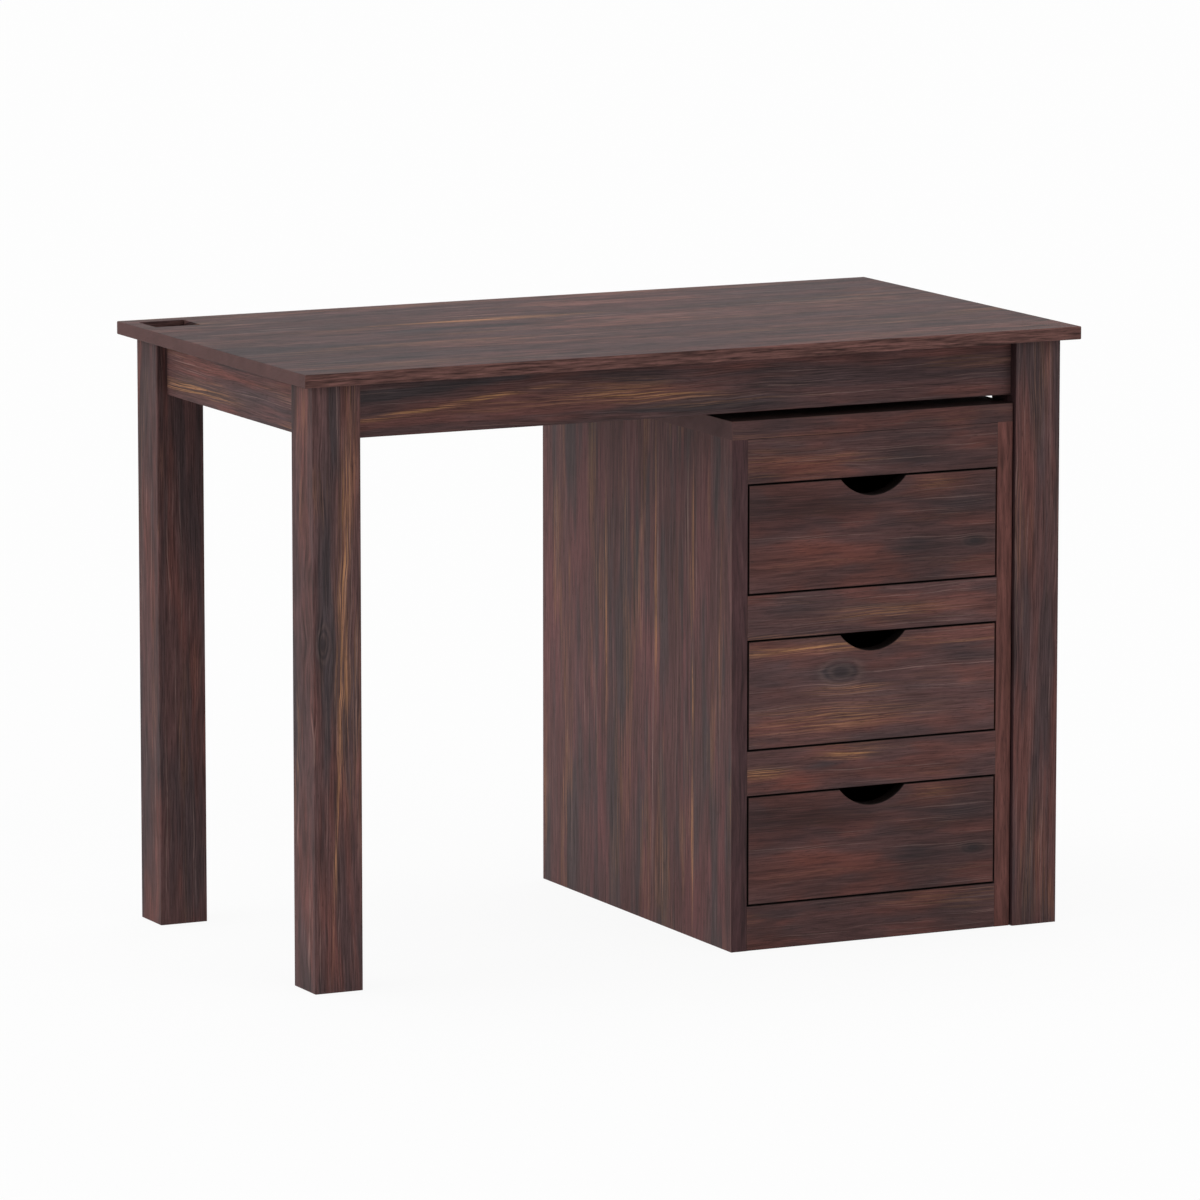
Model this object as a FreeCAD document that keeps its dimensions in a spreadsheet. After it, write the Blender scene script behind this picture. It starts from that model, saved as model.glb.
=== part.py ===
import FreeCAD, Part
import Sketcher
import os
import re

# Study table of solid wood with a free-standing pedestal of three drawers, in millimetres.
# +X runs along the top, -Y is the front and +Z is up. The origin is on the floor, under the
# middle of the top.

SIZES = {
    # top and legs
    "top_length": 1065.0,
    "top_depth": 581.0,
    "top_thick": 16.5,
    "top_ease": 1.4,
    "table_height": 762.0,
    "end_overhang": 18.4,
    "long_overhang": 20.5,
    "leg_side": 63.5,
    "leg_ease": 1.8,
    # well through the top over one leg: the ledge of leg left around it
    "well_ledge_long": 1.2,
    "well_ledge_deep": 4.6,
    # aprons and their tenons
    "apron_height": 69.0,
    "apron_thick": 22.0,
    "apron_recess": 14.0,
    "apron_ease": 1.2,
    "tenon_thick": 10.0,
    "tenon_shoulder": 10.0,
    "tenon_wall": 5.5,
    # corner blocks
    "block_height": 45.0,
    "block_band": 36.0,
    "block_leg_gap": 3.0,
    # pedestal carcass
    "pedestal_width": 394.5,
    "pedestal_depth": 538.7,
    "pedestal_top_thick": 23.4,
    "pedestal_set_back": 5.2,
    "pedestal_leg_gap": 1.2,
    "pedestal_apron_gap": 9.3,
    "panel_thick": 21.5,
    "carcass_ease": 0.8,
    "rail_height": 56.4,
    "rail_thick": 20.0,
    "runner_thick": 18.0,
    "back_thick": 6.0,
    "back_lift": 12.0,
    "rabbet_width": 10.0,
    "stop_length": 20.0,
    "stop_height": 14.0,
    # drawers
    "drawer_gap": 2.0,
    "front_thick": 20.0,
    "front_ease": 0.8,
    "notch_chord": 91.0,
    "notch_depth": 22.0,
    "box_side_thick": 12.0,
    "box_back_thick": 12.0,
    "box_back_inset": 12.0,
    "box_head_room": 12.0,
    "box_tail_room": 22.0,
    "bottom_thick": 5.0,
    "bottom_lift": 8.0,
    "groove_depth": 5.0,
    "dado_depth": 4.0,
    # fasteners
    "dowel_width": 8.0,
    "dowel_length": 38.0,
    "box_dowel_width": 6.0,
    "box_dowel_length": 32.0,
    "screw_head": 8.0,
    "screw_head_height": 2.6,
    "screw_shank": 4.0,
    "screw_sink": 3.2,
    # fits
    "joint_gap": 0.15,
    "overrun": 1.0,
    # how far a fastener goes into the wall that it ends in
    "bite_share": 0.62,
}

# places along an edge, as shares of its length
RAIL_DOWEL_SHARES = (0.25, 0.75)
RUNNER_SCREW_SHARES = (0.12, 0.88)
TOP_DOWEL_SHARES = (0.12, 0.5, 0.88)
BACK_SCREW_SHARES = (0.08, 0.36, 0.64, 0.92)
BOX_DOWEL_SHARES = (0.35, 0.75)

# Formulas in the words of the sheet, from the floor and the middle of the top.
FRAME_TOP = "(table_height - top_thick)"
LEG_X = "(top_length / 2 - end_overhang - leg_side / 2)"
LEG_Y = "(top_depth / 2 - long_overhang - leg_side / 2)"
APRON_INSET = "(apron_recess + apron_thick / 2)"
APRON_INNER_X = "(top_length / 2 - end_overhang - apron_recess - apron_thick)"
APRON_INNER_Y = "(top_depth / 2 - long_overhang - apron_recess - apron_thick)"
APRON_Z = f"({FRAME_TOP} - apron_height)"
TENON_LENGTH = f"(leg_side - {APRON_INSET} - tenon_thick / 2 - tenon_wall)"
TENON_HEIGHT = "(apron_height - 2 * tenon_shoulder)"
BLOCK_NEAR = "(2 * (leg_side - apron_recess - apron_thick) + block_leg_gap)"
BLOCK_FAR = f"({BLOCK_NEAR} + block_band)"
BLOCK_MID = f"({BLOCK_NEAR} + block_band / 2)"
BLOCK_SEAT = "(block_band / 4)"
BLOCK_Z = f"({FRAME_TOP} - block_height)"
BLOCK_GRIP = "(block_height / 2)"

PEDESTAL_X = f"({LEG_X} - leg_side / 2 - pedestal_leg_gap - pedestal_width)"
PEDESTAL_Y = f"(pedestal_set_back - {LEG_Y} - leg_side / 2)"
PEDESTAL_MID_X = f"({PEDESTAL_X} + pedestal_width / 2)"
CARCASS_HEIGHT = f"({APRON_Z} - pedestal_apron_gap - pedestal_top_thick)"
INNER_WIDTH = "(pedestal_width - 2 * panel_thick)"
OPENING = f"(({CARCASS_HEIGHT} - 4 * rail_height) / 3)"
PITCH = f"({OPENING} + rail_height)"
RUNNER_LENGTH = "(pedestal_depth - rail_thick - back_thick)"
PANEL_BITE = "(bite_share * panel_thick)"

FRONT_WIDTH = f"({INNER_WIDTH} - 2 * drawer_gap)"
FRONT_HEIGHT = f"({OPENING} - 2 * drawer_gap)"
NOTCH_RADIUS = "((notch_chord ^ 2 / 4 + notch_depth ^ 2) / (2 * notch_depth))"
BOX_LENGTH = "(pedestal_depth - front_thick - stop_length - box_tail_room - back_thick)"
BOX_HEIGHT = f"({OPENING} - box_head_room)"
BOX_INNER = f"({FRONT_WIDTH} - 2 * box_side_thick)"
BOX_BACK_Y = f"({BOX_LENGTH} - box_back_inset - box_back_thick)"
BOTTOM_TOP = "(bottom_lift + bottom_thick)"
FRONT_BITE = "(bite_share * front_thick)"
DOWEL_HOLE = "(dowel_width + 2 * joint_gap)"
BOX_DOWEL_HOLE = "(box_dowel_width + 2 * joint_gap)"
SHANK_HOLE = "(screw_shank + 2 * joint_gap)"
HEAD_HOLE = "(screw_head + 2 * joint_gap)"

LEVELS = ("bottom", "lower", "upper", "top")
DRAWERS = ("bottom", "middle", "top")
HANDS = {"left": 1, "right": -1}
# in order round the table, each a quarter turn on from the one before
CORNERS = ("front_left", "front_right", "rear_right", "rear_left")

# edges and faces this close to a plane count as lying in it
TOLERANCE = 1e-6
X_AXIS = FreeCAD.Vector(1, 0, 0)
Y_AXIS = FreeCAD.Vector(0, 1, 0)
Z_AXIS = FreeCAD.Vector(0, 0, 1)
HEADINGS = {
    "+X": FreeCAD.Rotation(Y_AXIS, 90), "-X": FreeCAD.Rotation(Y_AXIS, -90),
    "+Y": FreeCAD.Rotation(X_AXIS, -90), "-Y": FreeCAD.Rotation(X_AXIS, 90),
    "+Z": FreeCAD.Rotation(), "-Z": FreeCAD.Rotation(X_AXIS, 180),
}
OPPOSITE = {"+X": "-X", "-X": "+X", "+Y": "-Y", "-Y": "+Y", "+Z": "-Z", "-Z": "+Z"}

doc = FreeCAD.newDocument("study_table")
nodes = []


def make_sheet():
    """Write every driving size into the sheet, one named cell each."""
    sheet = doc.addObject("Spreadsheet::Sheet", "Sizes")
    for row, (name, value) in enumerate(SIZES.items(), start=1):
        sheet.set(f"A{row}", name)
        sheet.set(f"B{row}", str(value))
        sheet.setAlias(f"B{row}", name)
    doc.recompute()


def bind(item, name, formula):
    """Tie a property to a formula that is written in the sheet's words."""
    item.setExpression(name, re.sub(r"[a-z][a-z_]*", lambda word: "Sizes." + word.group(), formula))


def place(item, spot, rotation=FreeCAD.Rotation()):
    """Turn an object and tie its position to three formulas."""
    item.Placement = FreeCAD.Placement(FreeCAD.Vector(), rotation)
    for axis, formula in zip("xyz", spot):
        bind(item, f"Placement.Base.{axis}", formula)


def negative(formula):
    """Return the formula with its sign turned round."""
    return f"-({formula})"


def signed(sign, formula):
    """Return the formula, or its negative where the sign asks for it."""
    return formula if sign > 0 else negative(formula)


def body_at(label, spot, rotation=FreeCAD.Rotation()):
    """Start a piece: a body with its own label and place."""
    body = doc.addObject("PartDesign::Body", label)
    body.Label = label
    place(body, spot, rotation)
    nodes.append(body)
    return body


def box(body, size, corner, cut=False):
    """Add a box to a piece, or cut one out of it.

    size and corner are three formulas each, in the piece's own frame.
    """
    kind = "PartDesign::SubtractiveBox" if cut else "PartDesign::AdditiveBox"
    feature = body.newObject(kind, "Cut" if cut else "Board")
    for name, formula in zip(("Length", "Width", "Height"), size):
        bind(feature, name, formula)
    place(feature, corner)
    return feature


def bore(body, start, heading, width, depth):
    """Drill a round hole from start along heading."""
    feature = body.newObject("PartDesign::SubtractiveCylinder", "Bore")
    bind(feature, "Radius", f"{width} / 2")
    bind(feature, "Height", depth)
    place(feature, start, HEADINGS[heading])
    return feature


def ease(body, radius, wanted):
    """Round the edges of a piece whose middle and direction the test accepts."""
    doc.recompute()
    base = body.Tip
    names = []
    for number, edge in enumerate(base.Shape.Edges, start=1):
        middle = edge.valueAt((edge.FirstParameter + edge.LastParameter) / 2)
        first, last = edge.firstVertex().Point, edge.lastVertex().Point
        if wanted(middle, last - first):
            names.append(f"Edge{number}")
    fillet = body.newObject("PartDesign::Fillet", "Ease")
    fillet.Base = (base, names)
    bind(fillet, "Radius", radius)
    return fillet


def runs_along(axis):
    """Return a test for edges that run along an axis."""
    return lambda middle, run: run.Length > 0 and run.cross(axis).Length < TOLERANCE * run.Length


def front_edges(axis):
    """Return a test for edges that run along an axis in the front plane of a piece."""
    return lambda middle, run: runs_along(axis)(middle, run) and middle.y < TOLERANCE


def lower_edges(axis):
    """Return a test for edges that run along an axis in the bottom plane of a piece."""
    return lambda middle, run: runs_along(axis)(middle, run) and middle.z < TOLERANCE


def side_span(hand, low, high):
    """Return the lower end of a span that is mirrored for the right-hand piece."""
    return low if hand > 0 else negative(high)


def group(label, items):
    """Gather separate solids into one piece."""
    compound = doc.addObject("Part::Compound", label)
    compound.Label = label
    compound.Links = items
    nodes.append(compound)


def rod(name, start, heading, width, length):
    """Make a round rod from start along heading."""
    item = doc.addObject("Part::Cylinder", name)
    bind(item, "Radius", f"{width} / 2")
    bind(item, "Height", length)
    place(item, start, HEADINGS[heading])
    return item


def screw(name, seat, heading, length):
    """Make a screw whose head sits on seat and whose shank points along heading."""
    shank = rod(name + "_shank", seat, heading, "screw_shank", length)
    head = rod(name + "_head", seat, OPPOSITE[heading], "screw_head", "screw_head_height")
    item = doc.addObject("Part::MultiFuse", name)
    item.Shapes = [shank, head]
    item.Refine = True
    return item


def level_z(level):
    """Return the height of a rail's lower edge, counted from the floor rail."""
    return f"({level} * {PITCH})"


def make_top():
    """Flat top with a square well over the rear-left leg and pilot holes from below."""
    body = body_at("table_top", ("0", "0", FRAME_TOP))
    box(body, ("top_length", "top_depth", "top_thick"),
        ("-top_length / 2", "-top_depth / 2", "0"))
    ease(body, "top_ease", lambda middle, run: True)
    well_long = "(leg_side - 2 * well_ledge_long)"
    well_deep = "(leg_side - 2 * well_ledge_deep)"
    box(body, (well_long, well_deep, "top_thick + 2 * overrun"),
        (f"-{LEG_X} - {well_long} / 2", f"{LEG_Y} - {well_deep} / 2", "-overrun"), cut=True)
    for x, y in block_middles():
        bore(body, (x, y, "-overrun"), "+Z", SHANK_HOLE, "overrun + bite_share * top_thick + joint_gap")


def corner_frames():
    """Return each corner's name, its signs along X and Y, and its turn about Z."""
    frames = []
    for quarter, corner in enumerate(CORNERS):
        side = 1 if corner.endswith("right") else -1
        front = 1 if corner.startswith("rear") else -1
        frames.append((corner, side, front, FreeCAD.Rotation(Z_AXIS, 90 * quarter)))
    return frames


def block_middles():
    """Return the place of each corner block's upright screw, over the floor."""
    return [(signed(side, f"{APRON_INNER_X} - {BLOCK_MID} / 2"),
             signed(front, f"{APRON_INNER_Y} - {BLOCK_MID} / 2"))
            for corner, side, front, turn in corner_frames()]


def make_legs():
    """Square legs, each with two mortises that the aprons' tenons enter."""
    for corner, side, front, turn in corner_frames():
        body = body_at("leg_" + corner, (signed(side, LEG_X), signed(front, LEG_Y), "0"), turn)
        box(body, ("leg_side", "leg_side", FRAME_TOP), ("-leg_side / 2", "-leg_side / 2", "0"))
        ease(body, "leg_ease", runs_along(Z_AXIS))
        deep = f"{TENON_LENGTH} + joint_gap"
        wide = "tenon_thick + 2 * joint_gap"
        high = f"{TENON_HEIGHT} + 2 * joint_gap"
        across = f"{APRON_INSET} - leg_side / 2 - tenon_thick / 2 - joint_gap"
        inward = f"leg_side / 2 - {TENON_LENGTH} - joint_gap"
        up = f"{APRON_Z} + tenon_shoulder - joint_gap"
        box(body, (deep + " + overrun", wide, high), (inward, across, up), cut=True)
        box(body, (wide, deep + " + overrun", high), (across, inward, up), cut=True)


def make_aprons():
    """Aprons between the legs. In each one's own frame +Y points to the inside of the table."""
    long_span = f"(2 * {LEG_X} - leg_side)"
    short_span = f"(2 * {LEG_Y} - leg_side)"
    long_hole = f"({APRON_INNER_X} - {BLOCK_MID})"
    short_hole = f"({APRON_INNER_Y} - {BLOCK_MID})"
    mid_x = f"({APRON_INNER_X} + apron_thick / 2)"
    mid_y = f"({APRON_INNER_Y} + apron_thick / 2)"
    aprons = {
        "front": ("0", negative(mid_y), 0, long_span, long_hole),
        "rear": ("0", mid_y, 180, long_span, long_hole),
        "left": (negative(mid_x), "0", -90, short_span, short_hole),
        "right": (mid_x, "0", 90, short_span, short_hole),
    }
    for name, (x, y, turn, span, hole) in aprons.items():
        body = body_at("apron_" + name, (x, y, APRON_Z), FreeCAD.Rotation(Z_AXIS, turn))
        box(body, (span, "apron_thick", "apron_height"), (f"-{span} / 2", "-apron_thick / 2", "0"))
        ease(body, "apron_ease", lower_edges(X_AXIS))
        for end in (f"{span} / 2", f"-{span} / 2 - {TENON_LENGTH}"):
            box(body, (TENON_LENGTH, "tenon_thick", TENON_HEIGHT),
                (end, "-tenon_thick / 2", "tenon_shoulder"))
        for x_hole in (hole, negative(hole)):
            bore(body, (x_hole, "apron_thick / 2 + overrun", "apron_height - block_height / 2"), "-Y",
                 SHANK_HOLE, "overrun + bite_share * apron_thick + joint_gap")


def make_corner_blocks():
    """Slanting blocks across the frame's corners, held by two screws each and one up into the top."""
    for corner, side, front, turn in corner_frames():
        spot = (signed(side, APRON_INNER_X), signed(front, APRON_INNER_Y), BLOCK_Z)
        body = body_at("corner_block_" + corner, spot, turn)
        sketch = body.newObject("Sketcher::SketchObject", "Outline")
        planes = [item for item in body.Origin.OriginFeatures if item.Role == "XY_Plane"]
        sketch.AttachmentSupport = (planes[0], [""])
        sketch.MapMode = "FlatFace"
        slanted_outline(sketch)
        pad = body.newObject("PartDesign::Pad", "Block")
        pad.Profile = sketch
        bind(pad, "Length", "block_height")
        doc.recompute()
        half = "block_height / 2"
        bore(body, (BLOCK_SEAT, BLOCK_MID, half), "+X", HEAD_HOLE, "block_band")
        bore(body, ("-overrun", BLOCK_MID, half), "+X", SHANK_HOLE, "block_band")
        bore(body, (BLOCK_MID, BLOCK_SEAT, half), "+Y", HEAD_HOLE, "block_band")
        bore(body, (BLOCK_MID, "-overrun", half), "+Y", SHANK_HOLE, "block_band")
        middle = f"{BLOCK_MID} / 2"
        bore(body, (middle, middle, "-overrun"), "+Z", HEAD_HOLE, f"overrun + block_height - {BLOCK_GRIP}")
        bore(body, (middle, middle, "0"), "+Z", SHANK_HOLE, "block_height + overrun")


def slanted_outline(sketch):
    """Draw a block's plan: a band that slants from one apron's inner face to the other's."""
    near, far = SIZES["block_band"], 2 * SIZES["block_band"]
    corners = [FreeCAD.Vector(0, near, 0), FreeCAD.Vector(0, far, 0),
               FreeCAD.Vector(far, 0, 0), FreeCAD.Vector(near, 0, 0)]
    for index, corner in enumerate(corners):
        sketch.addGeometry(Part.LineSegment(corner, corners[(index + 1) % len(corners)]), False)
    for index in range(len(corners)):
        sketch.addConstraint(Sketcher.Constraint("Coincident", index, 2, (index + 1) % len(corners), 1))
    for index, axis in ((0, -2), (1, -2), (2, -1), (3, -1)):
        sketch.addConstraint(Sketcher.Constraint("PointOnObject", index, 1, axis))
    for index, formula, value in ((0, BLOCK_NEAR, near), (1, BLOCK_FAR, far),
                                  (2, BLOCK_FAR, far), (3, BLOCK_NEAR, near)):
        number = sketch.addConstraint(Sketcher.Constraint("Distance", index, 1, -1, 1, value))
        bind(sketch, f"Constraints[{number}]", formula)


def make_frame_screws():
    """Screws of the corner blocks: into the aprons, and up into the top."""
    into_aprons = []
    height = f"{FRAME_TOP} - block_height / 2"
    length = f"{BLOCK_SEAT} + bite_share * apron_thick"
    for corner, side, front, turn in corner_frames():
        seat_x = signed(side, f"{APRON_INNER_X} - {BLOCK_SEAT}")
        along_x = signed(side, f"{APRON_INNER_X} - {BLOCK_MID}")
        seat_y = signed(front, f"{APRON_INNER_Y} - {BLOCK_SEAT}")
        along_y = signed(front, f"{APRON_INNER_Y} - {BLOCK_MID}")
        into_aprons.append(screw(f"end_screw_{corner}", (seat_x, along_y, height),
                                 "+X" if side > 0 else "-X", length))
        into_aprons.append(screw(f"long_screw_{corner}", (along_x, seat_y, height),
                                 "+Y" if front > 0 else "-Y", length))
    group("corner_block_screws", into_aprons)
    seat = f"{FRAME_TOP} - {BLOCK_GRIP}"
    into_top = [screw(f"top_screw_{number}", (x, y, seat), "+Z", f"{BLOCK_GRIP} + bite_share * top_thick")
                for number, (x, y) in enumerate(block_middles())]
    group("top_screws", into_top)


def make_pedestal_sides():
    """Side panels with a rabbet for the back and holes for dowels and screws."""
    for name, hand in HANDS.items():
        x = PEDESTAL_X if hand > 0 else f"{PEDESTAL_X} + pedestal_width"
        outward = "-X" if hand > 0 else "+X"
        inner = signed(hand, "panel_thick")
        body = body_at("pedestal_side_" + name, (x, PEDESTAL_Y, "0"))
        box(body, ("panel_thick", "pedestal_depth", CARCASS_HEIGHT),
            (side_span(hand, "0", "panel_thick"), "0", "0"))
        ease(body, "carcass_ease", front_edges(Z_AXIS))
        box(body, ("rabbet_width + overrun", "back_thick + overrun", f"{CARCASS_HEIGHT} + 2 * overrun"),
            (side_span(hand, "panel_thick - rabbet_width", "panel_thick + overrun"),
             "pedestal_depth - back_thick", "-overrun"), cut=True)
        for level in range(len(LEVELS)):
            for share in RAIL_DOWEL_SHARES:
                bore(body, (inner, "rail_thick / 2", f"{level_z(level)} + {share} * rail_height"),
                     outward, DOWEL_HOLE, PANEL_BITE)
            for share in RUNNER_SCREW_SHARES:
                bore(body, (inner, f"rail_thick + {share} * {RUNNER_LENGTH}",
                            f"{level_z(level)} + rail_height / 2"),
                     outward, SHANK_HOLE, f"{PANEL_BITE} + joint_gap")
        for share in TOP_DOWEL_SHARES:
            bore(body, (signed(hand, "panel_thick / 2"), f"{share} * pedestal_depth", CARCASS_HEIGHT),
                 "-Z", DOWEL_HOLE, "dowel_length - bite_share * pedestal_top_thick")
        for share in BACK_SCREW_SHARES:
            bore(body, (signed(hand, "panel_thick - rabbet_width / 2"), "pedestal_depth - back_thick",
                        f"{share} * {CARCASS_HEIGHT}"),
                 "-Y", SHANK_HOLE, f"{PANEL_BITE} + joint_gap")


def make_pedestal_top():
    """Flat board over both side panels, on dowels."""
    body = body_at("pedestal_top", (PEDESTAL_X, PEDESTAL_Y, CARCASS_HEIGHT))
    box(body, ("pedestal_width", "pedestal_depth", "pedestal_top_thick"), ("0", "0", "0"))
    ease(body, "carcass_ease", lambda middle, run: middle.z > TOLERANCE)
    for x in ("panel_thick / 2", "pedestal_width - panel_thick / 2"):
        for share in TOP_DOWEL_SHARES:
            bore(body, (x, f"{share} * pedestal_depth", "0"), "+Z", DOWEL_HOLE,
                 "bite_share * pedestal_top_thick + joint_gap")


def make_pedestal_back():
    """Thin back in the sides' rabbets, with counterbored screw holes."""
    x = f"{PEDESTAL_X} + panel_thick - rabbet_width + joint_gap"
    body = body_at("pedestal_back", (x, f"{PEDESTAL_Y} + pedestal_depth - back_thick", "back_lift"))
    width = f"({INNER_WIDTH} + 2 * rabbet_width - 2 * joint_gap)"
    box(body, (width, "back_thick", f"{CARCASS_HEIGHT} - back_lift"), ("0", "0", "0"))
    edge = "(rabbet_width / 2 - joint_gap)"
    for x_hole in (edge, f"{width} - {edge}"):
        for share in BACK_SCREW_SHARES:
            z = f"{share} * {CARCASS_HEIGHT} - back_lift"
            bore(body, (x_hole, "back_thick - screw_sink", z), "+Y", HEAD_HOLE, "screw_sink + overrun")
            bore(body, (x_hole, "-overrun", z), "+Y", SHANK_HOLE, "back_thick + overrun")


def make_rails():
    """Front rails between the side panels, with two dowel holes in each end."""
    deep = f"dowel_length - {PANEL_BITE} + joint_gap"
    for level, name in enumerate(LEVELS):
        body = body_at("rail_" + name, (f"{PEDESTAL_X} + panel_thick", PEDESTAL_Y, level_z(level)))
        box(body, (INNER_WIDTH, "rail_thick", "rail_height"), ("0", "0", "0"))
        ease(body, "carcass_ease", front_edges(X_AXIS))
        for share in RAIL_DOWEL_SHARES:
            z = f"{share} * rail_height"
            bore(body, ("0", "rail_thick / 2", z), "+X", DOWEL_HOLE, deep)
            bore(body, (INNER_WIDTH, "rail_thick / 2", z), "-X", DOWEL_HOLE, deep)


def make_runners():
    """Strips behind the rails that carry the drawers, and keep the ones below from tipping."""
    for level, level_name in enumerate(LEVELS):
        for name, hand in HANDS.items():
            x = f"{PEDESTAL_X} + panel_thick"
            if hand < 0:
                x = f"{PEDESTAL_X} + pedestal_width - panel_thick"
            body = body_at(f"runner_{name}_{level_name}",
                           (x, f"{PEDESTAL_Y} + rail_thick", level_z(level)))
            box(body, ("runner_thick", RUNNER_LENGTH, "rail_height"),
                (side_span(hand, "0", "runner_thick"), "0", "0"))
            inward = "+X" if hand > 0 else "-X"
            seat = signed(hand, "runner_thick - screw_sink")
            for share in RUNNER_SCREW_SHARES:
                y = f"{share} * {RUNNER_LENGTH}"
                bore(body, (seat, y, "rail_height / 2"), inward, HEAD_HOLE, "screw_sink + overrun")
                bore(body, (signed(hand, "-overrun"), y, "rail_height / 2"), inward, SHANK_HOLE,
                     "runner_thick + overrun")


def make_pedestal_fasteners():
    """Dowels, screws and drawer stops of the pedestal."""
    dowels, screws, stops = [], [], []
    for name, hand in HANDS.items():
        inner = f"({PEDESTAL_X} + panel_thick)"
        if hand < 0:
            inner = f"({PEDESTAL_X} + pedestal_width - panel_thick)"
        inward, outward = ("+X", "-X") if hand > 0 else ("-X", "+X")
        for level in range(len(LEVELS)):
            for share in RAIL_DOWEL_SHARES:
                spot = (f"{inner} - {signed(hand, PANEL_BITE)}", f"{PEDESTAL_Y} + rail_thick / 2",
                        f"{level_z(level)} + {share} * rail_height")
                dowels.append(rod("rail_dowel", spot, inward, "dowel_width", "dowel_length"))
            for share in RUNNER_SCREW_SHARES:
                seat = (f"{inner} + {signed(hand, 'runner_thick - screw_sink')}",
                        f"{PEDESTAL_Y} + rail_thick + {share} * {RUNNER_LENGTH}",
                        f"{level_z(level)} + rail_height / 2")
                screws.append(screw("runner_screw", seat, outward,
                                    f"runner_thick - screw_sink + {PANEL_BITE}"))
        for level in range(len(DRAWERS)):
            stop = doc.addObject("Part::Box", "drawer_stop")
            for prop, formula in (("Length", "box_side_thick"), ("Width", "stop_length"),
                                  ("Height", "stop_height")):
                bind(stop, prop, formula)
            x = f"{inner} + drawer_gap" if hand > 0 else f"{inner} - drawer_gap - box_side_thick"
            place(stop, (x, f"{PEDESTAL_Y} + front_thick + {BOX_LENGTH}",
                         f"{level_z(level)} + rail_height"))
            stops.append(stop)
    group("rail_dowels", dowels)
    group("runner_screws", screws)
    group("drawer_stops", stops)
    side_middles = (f"{PEDESTAL_X} + panel_thick / 2",
                    f"{PEDESTAL_X} + pedestal_width - panel_thick / 2")
    group("pedestal_top_dowels",
          [rod("top_dowel", (x, f"{PEDESTAL_Y} + {share} * pedestal_depth",
                             f"{CARCASS_HEIGHT} - dowel_length + bite_share * pedestal_top_thick"),
               "+Z", "dowel_width", "dowel_length")
           for x in side_middles for share in TOP_DOWEL_SHARES])
    rabbet_middles = (f"{PEDESTAL_X} + panel_thick - rabbet_width / 2",
                      f"{PEDESTAL_X} + pedestal_width - panel_thick + rabbet_width / 2")
    group("back_screws",
          [screw("back_screw", (x, f"{PEDESTAL_Y} + pedestal_depth - screw_sink",
                                f"{share} * {CARCASS_HEIGHT}"),
                 "-Y", f"back_thick - screw_sink + {PANEL_BITE}")
           for x in rabbet_middles for share in BACK_SCREW_SHARES])


def make_drawer(name, level):
    """One drawer: inset front with a half-moon finger cut, two sides, a back and a bottom panel."""
    floor = f"({level_z(level)} + rail_height)"
    prefix = f"drawer_{name}_"
    side_middle = f"({FRONT_WIDTH} / 2 - box_side_thick / 2)"
    dowel_heights = [f"{share} * {BOX_HEIGHT}" for share in BOX_DOWEL_SHARES]
    make_front(prefix, floor, side_middle, dowel_heights)
    for hand_name, hand in HANDS.items():
        make_box_side(prefix + "side_" + hand_name, hand, floor, dowel_heights)

    back_width = f"({BOX_INNER} + 2 * dado_depth - 2 * joint_gap)"
    back = body_at(prefix + "back", (PEDESTAL_MID_X, f"{PEDESTAL_Y} + front_thick + {BOX_BACK_Y}",
                                     f"{floor} + {BOTTOM_TOP}"))
    box(back, (back_width, "box_back_thick", f"{BOX_HEIGHT} - {BOTTOM_TOP}"),
        (f"-{back_width} / 2", "0", "0"))

    bottom_width = f"({BOX_INNER} + 2 * groove_depth - 2 * joint_gap)"
    start = "(front_thick - groove_depth + joint_gap)"
    bottom = body_at(prefix + "bottom_panel", (PEDESTAL_MID_X, f"{PEDESTAL_Y} + {start}",
                                               f"{floor} + bottom_lift"))
    box(bottom, (bottom_width, f"front_thick + {BOX_BACK_Y} + box_back_thick - {start}", "bottom_thick"),
        (f"-{bottom_width} / 2", "0", "0"))

    group(prefix + "dowels",
          [rod("box_dowel", (f"{PEDESTAL_MID_X} + {signed(hand, side_middle)}",
                             f"{PEDESTAL_Y} + front_thick - {FRONT_BITE}", f"{floor} + {height}"),
               "+Y", "box_dowel_width", "box_dowel_length")
           for hand in HANDS.values() for height in dowel_heights])


def make_front(prefix, floor, side_middle, dowel_heights):
    """Drawer front with its finger cut, the groove for the bottom panel and the dowel holes."""
    body = body_at(prefix + "front", (PEDESTAL_MID_X, PEDESTAL_Y, f"{floor} + drawer_gap"))
    box(body, (FRONT_WIDTH, "front_thick", FRONT_HEIGHT), (f"-{FRONT_WIDTH} / 2", "0", "0"))
    bore(body, ("0", "-overrun", f"{FRONT_HEIGHT} - notch_depth + {NOTCH_RADIUS}"), "+Y",
         f"2 * {NOTCH_RADIUS}", "front_thick + 2 * overrun")
    ease(body, "front_ease", lambda middle, run: abs(middle.y) < TOLERANCE)
    groove_width = f"({BOX_INNER} + 2 * groove_depth)"
    box(body, (groove_width, "groove_depth + overrun", "bottom_thick + joint_gap"),
        (f"-{groove_width} / 2", "front_thick - groove_depth", "bottom_lift - drawer_gap"), cut=True)
    for x in (side_middle, negative(side_middle)):
        for height in dowel_heights:
            bore(body, (x, f"front_thick - {FRONT_BITE}", f"{height} - drawer_gap"), "+Y",
                 BOX_DOWEL_HOLE, f"{FRONT_BITE} + overrun")


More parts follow.
